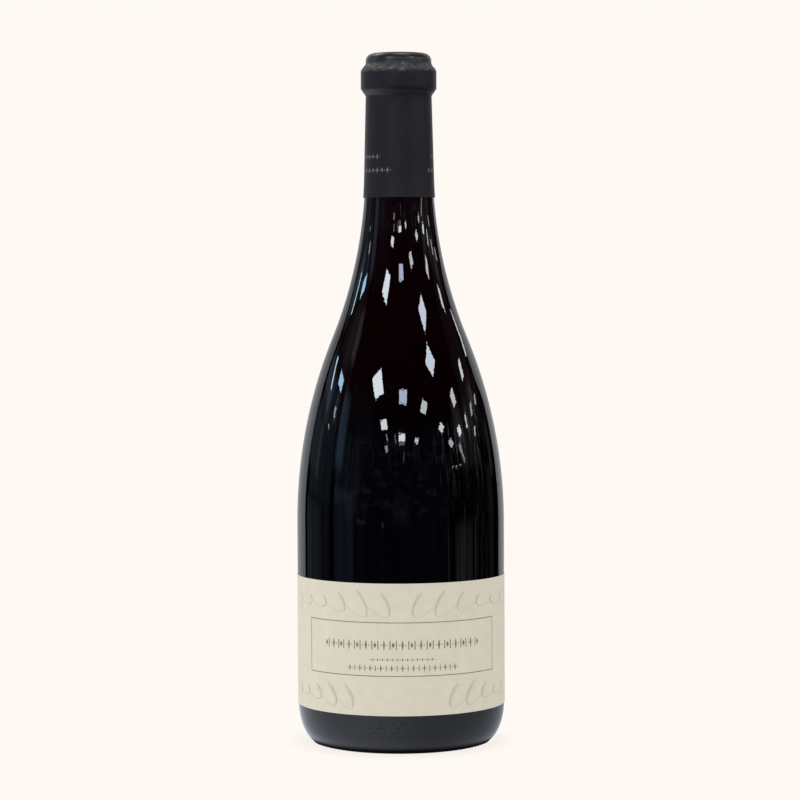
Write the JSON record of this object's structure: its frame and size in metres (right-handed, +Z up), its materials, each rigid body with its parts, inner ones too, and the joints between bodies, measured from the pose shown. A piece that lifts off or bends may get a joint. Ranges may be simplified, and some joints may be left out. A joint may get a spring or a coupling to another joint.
{
  "type": "wine bottle",
  "caption": "Sealed wine bottle with long sloping shoulders, dark glass, a punt in its base, a dark capsule over the mouth and neck, and a wide cream wrap-round label.",
  "frame": {"origin": "on the bottle's axis, in the plane of the ring that it stands on", "axes": "+Z up along the bottle's axis, -Y towards the middle of the label, +X to the right of someone who reads the label"},
  "size_m": [0.0894, 0.0892, 0.2959],
  "materials": {
    "dark_glass": "polished, near black with the wine behind it",
    "capsule_foil": "matt charcoal lacquer, scuffed at the lip",
    "label_paper": "uncoated cream paper with fine grey-brown print"
  },
  "bodies": {
    "root": {"bottle_glass": "dark_glass", "capsule": "capsule_foil", "front_label": "label_paper"}
  },
  "joints": []
}
